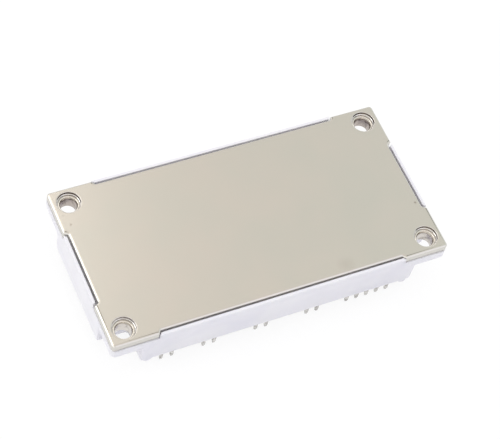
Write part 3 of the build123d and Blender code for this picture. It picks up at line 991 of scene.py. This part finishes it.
@dataclass
class InnerCircuit:
    """The circuit inside the housing, which keeps its CAD solids and gets the finish of each piece."""

    finishes: tuple[tuple[str, TwoToneFinish], ...] = (
        ("solder_layer", REFLOWED_SOLDER),
        ("back_copper", ETCHED_COPPER),
        ("ceramic_plate", FIRED_ALUMINA),
        ("copper_tracks", ETCHED_COPPER),
        ("_chip_", METALLISED_SILICON),
        ("wires", DRAWN_ALUMINIUM),
        ("thermistor", SINTERED_CERAMIC),
        ("adhesive_bead", CURED_SILICONE),
    )

    def dress(self) -> None:
        """Give each CAD node that stays its finish."""
        built: dict[str, Material] = {}
        for part, finish in self.finishes:
            for name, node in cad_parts.items():
                if part not in name or name.endswith("_pins"):
                    continue
                if finish.name not in built:
                    built[finish.name] = finish.build()
                node.data.materials.clear()
                node.data.materials.append(built[finish.name])
                LOG.info("%s: %s", name, finish.name)


# Studio


def seen_ray(tree: Tree) -> Node:
    """Tell the rays in which a floor or room is seen from those that carry its light.

    Args:
        tree: A node tree.

    Returns:
        One for rays from the camera or off glossy and clear surfaces, nought for the rest.
    """
    rays = add_node(tree, "ShaderNodeLightPath").outputs
    first = add_node(tree, "ShaderNodeMath", {0: rays["Is Camera Ray"], 1: rays["Is Glossy Ray"]},
                     operation="MAXIMUM")
    return add_node(tree, "ShaderNodeMath", {0: first, 1: rays["Is Transmission Ray"]}, operation="MAXIMUM")


@dataclass
class PaleFloor:
    """A floor of white card: white to the camera and in reflections, though it takes the object's shadow."""

    name: str = "studio_floor"
    finish: str = "white_card"
    colour: str = "#F2F2F2"
    pin_tip_z: float = -20.5
    clearance: float = 0.02
    half_size: float = 900.0
    cells: int = 40
    glow: float = 1.05
    glow_share: float = 0.82

    def material(self) -> Material:
        """Card that glows white where it is seen.

        Returns:
            The material.
        """
        material = bpy.data.materials.new(self.finish)
        tree = emptied_tree(material)
        card = add_node(tree, "ShaderNodeBsdfDiffuse", {"Color": linear(self.colour)})
        glow = add_node(tree, "ShaderNodeEmission", {"Color": WHITE, "Strength": self.glow})
        share = add_node(tree, "ShaderNodeMath", {0: seen_ray(tree), 1: self.glow_share},
                         operation="MULTIPLY")
        mix = add_node(tree, "ShaderNodeMixShader", {0: share, 1: card, 2: glow})
        add_node(tree, "ShaderNodeOutputMaterial", {"Surface": mix})
        return material

    def build(self) -> None:
        """Lay the floor, a flat square grid just under the pins' tips: x and y in even steps, z the same."""
        across = self.cells + 1
        size = np.linspace(-1, 1, across) * self.half_size * MM
        x, y = np.meshgrid(size, size, indexing="ij")
        z = np.full_like(x, (self.pin_tip_z - self.clearance) * MM)
        points = np.stack([x, y, z], axis=-1).reshape(-1, 3)
        row, column = np.meshgrid(np.arange(self.cells), np.arange(self.cells), indexing="ij")
        start = (row * across + column).ravel()
        faces = np.stack([start, start + across, start + across + 1, start + 1], axis=1)
        mesh = bpy.data.meshes.new(self.name)
        mesh.from_pydata(points, [], faces.tolist())
        mesh.materials.append(self.material())
        floor = add_object(self.name, mesh)


@dataclass
class BrightRoom:
    """An even, bright room. The camera sees it white, and reflections see walls and a warmer ceiling.

    The wall at the left is as bright as a window. The ceiling is a little dimmer near the walls and turns
    green-grey towards the right. Each reach is a stretch of the ray's direction where one turns to the next.
    """

    name: str = "bright_room"
    # Light that falls on the object, from the level and from straight above.
    light: Pair = (0.5, 1.12)
    # Strengths in reflections: walls and the left wall, ceiling near the walls and overhead.
    walls: Pair = (1.05, 1.6)
    ceiling: Pair = (0.86, 0.95)
    ceiling_colour: str = "#FFF7EE"
    right_ceiling_colour: str = "#FAFDF5"
    wall_reach: Pair = (0.3, 0.65)
    ceiling_reach: Pair = (0.76, 0.87)
    left_reach: Pair = (-0.35, -0.8)
    right_reach: Pair = (0.33, 0.45)

    def build(self) -> None:
        """Make the world: for each kind of ray, how bright the room is and of which colour."""
        world = bpy.data.worlds.new(self.name)
        bpy.context.scene.world = world
        tree = emptied_tree(world)
        seen = seen_ray(tree)
        camera = add_node(tree, "ShaderNodeLightPath").outputs["Is Camera Ray"]
        direction = add_node(tree, "ShaderNodeSeparateXYZ", {
            "Vector": add_node(tree, "ShaderNodeTexCoord").outputs["Generated"]})
        right, up = direction.outputs["X"], direction.outputs["Z"]
        low = add_node(tree, "ShaderNodeMapRange", {
            "Value": up, **between("From", self.wall_reach), **between("To", (1.0, 0.0))})
        ceiling = add_node(tree, "ShaderNodeMapRange", {
            "Value": up, **between("From", self.ceiling_reach), **between("To", self.ceiling)})
        walls = add_node(tree, "ShaderNodeMapRange", {
            "Value": right, **between("From", self.left_reach), **between("To", self.walls)})
        mirrored = add_node(tree, "ShaderNodeMix", {0: low, 2: ceiling, 3: walls}, data_type="FLOAT")
        shown = add_node(tree, "ShaderNodeMix", {0: camera, 2: mirrored, 3: 1.0}, data_type="FLOAT")
        lit = add_node(tree, "ShaderNodeMapRange", {"Value": up, **between("To", self.light)})
        strength = add_node(tree, "ShaderNodeMix", {0: seen, 2: lit, 3: shown}, data_type="FLOAT")
        high = add_node(tree, "ShaderNodeMath", {0: 1.0, 1: low}, operation="SUBTRACT")
        high_seen = add_node(tree, "ShaderNodeMath", {0: high, 1: seen}, operation="MULTIPLY")
        not_camera = add_node(tree, "ShaderNodeMath", {0: 1.0, 1: camera}, operation="SUBTRACT")
        share = add_node(tree, "ShaderNodeMath", {0: high_seen, 1: not_camera}, operation="MULTIPLY")
        rightward = add_node(tree, "ShaderNodeMapRange", {
            "Value": right, **between("From", self.right_reach)})
        tone = add_node(tree, "ShaderNodeMix", {
            "Factor": rightward, "A": linear(self.ceiling_colour), "B": linear(self.right_ceiling_colour),
        }, data_type="RGBA")
        tint = add_node(tree, "ShaderNodeMix", {"Factor": share, "A": WHITE, "B": tone}, data_type="RGBA")
        sky = add_node(tree, "ShaderNodeBackground", {"Color": tint, "Strength": strength})
        add_node(tree, "ShaderNodeOutputWorld", {"Surface": sky})


@dataclass(frozen=True)
class SoftLamp:
    """A square soft lamp that faces the object: place and size in metres, power in watts."""

    name: str
    place: Triple
    size: float
    power: float
    colour: str

    def build(self) -> None:
        """Hang the lamp, tilted by its angle from the plumb line and turned to face the middle."""
        data = bpy.data.lights.new(self.name, "AREA")
        data.shape = "SQUARE"
        data.size = self.size
        data.energy = self.power
        data.color = linear(self.colour)[:3]
        x, y, z = self.place
        lamp = add_object(self.name, data)
        lamp.location = self.place
        lamp.rotation_euler = (math.atan2(math.hypot(x, y), z), 0.0, math.atan2(x, -y))


@dataclass(frozen=True)
class PhotoCamera:
    """The photograph's view, from the front left and high above: place and clipping in metres."""

    name: str = "photo_view"
    place: Triple = (-0.19486, -0.26127, 0.48323)
    degrees: Triple = (33.161, -8.6973, -23.6444)
    sensor_mm: float = 36.0
    lens_mm: float = 125.45
    shift: Pair = (-0.0004, -0.0096)
    clipping: Pair = (0.01, 20.0)

    def build(self) -> None:
        """Set up the camera."""
        data = bpy.data.cameras.new(self.name)
        data.sensor_width = self.sensor_mm
        data.lens = self.lens_mm
        data.shift_x, data.shift_y = self.shift
        data.clip_start, data.clip_end = self.clipping
        camera = add_object(self.name, data)
        camera.location = self.place
        camera.rotation_euler = tuple(math.radians(angle) for angle in self.degrees)
        bpy.context.scene.camera = camera


@dataclass
class Studio:
    """A pale floor, a bright even room, soft lamps and the camera."""

    lamps: tuple[SoftLamp, ...] = (
        SoftLamp("window_behind_left", (-0.02, 0.68, 1.0), 0.4, 0.62, "#FFFAF0"),
        SoftLamp("fill_in_front", (0.42, -1.05, 0.52), 1.15, 1.25, "#E6E3FF"),
        SoftLamp("window_at_left", (-1.05, 0.4, 0.45), 0.7, 2.7, "#FFFEF6"),
    )

    def build(self) -> None:
        """Set up the studio."""
        PaleFloor().build()
        BrightRoom().build()
        for lamp in self.lamps:
            lamp.build()
        PhotoCamera().build()
        bpy.context.scene.view_settings.view_transform = "Standard"


# The whole module


@dataclass
class PowerModule:
    """The module: plate, rivets, moulded frame and lid, solder pins and the circuit inside."""

    frame_edge_round: float = 0.22
    lid_edge_round: float = 0.15
    front_groups: tuple[tuple[str, tuple[int, ...]], ...] = (
        ("gate_pins_left", (-11, -10)),
        ("emitter_pins_left", (-7, -6)),
        ("gate_pins_middle", (-2, -1)),
        ("thermistor_pins", (3, 4)),
        ("gate_pins_right", (7, 8, 9, 10, 11)),
    )
    rear_groups: tuple[tuple[str, tuple[int, ...]], ...] = (
        ("positive_pins_left", (-11, -10)),
        ("phase_pins_left", (-8, -7)),
        ("negative_pins_left", (-5, -4)),
        ("positive_pins_middle", (-2, -1)),
        ("phase_pins_middle", (1, 2)),
        ("negative_pins_middle", (4, 5)),
        ("positive_pins_right", (7, 8)),
        ("phase_pins_right", (10, 11)),
    )

    def build(self) -> None:
        """Build and dress every piece."""
        plate_finish = SatinNickelPlate().build()
        plastic = MouldedPolyester().build()
        tin = MATT_TIN.build()
        Baseplate().build(plate_finish)
        HollowRivets().build(TurnedNickelRivet().build())
        MouldedPart("housing_frame", self.frame_edge_round).build(plastic)
        MouldedPart("lid", self.lid_edge_round).build(plastic)
        for side, groups in ((Side.FRONT, self.front_groups), (Side.REAR, self.rear_groups)):
            for node, steps in groups:
                SolderPins(node, steps, side).build(tin)
        InnerCircuit().dress()


def main() -> None:
    """Build the module and its studio."""
    logging.basicConfig(level=logging.INFO, format="%(name)s: %(message)s")
    PowerModule().build()
    Studio().build()


if __name__ == "__main__":
    main()
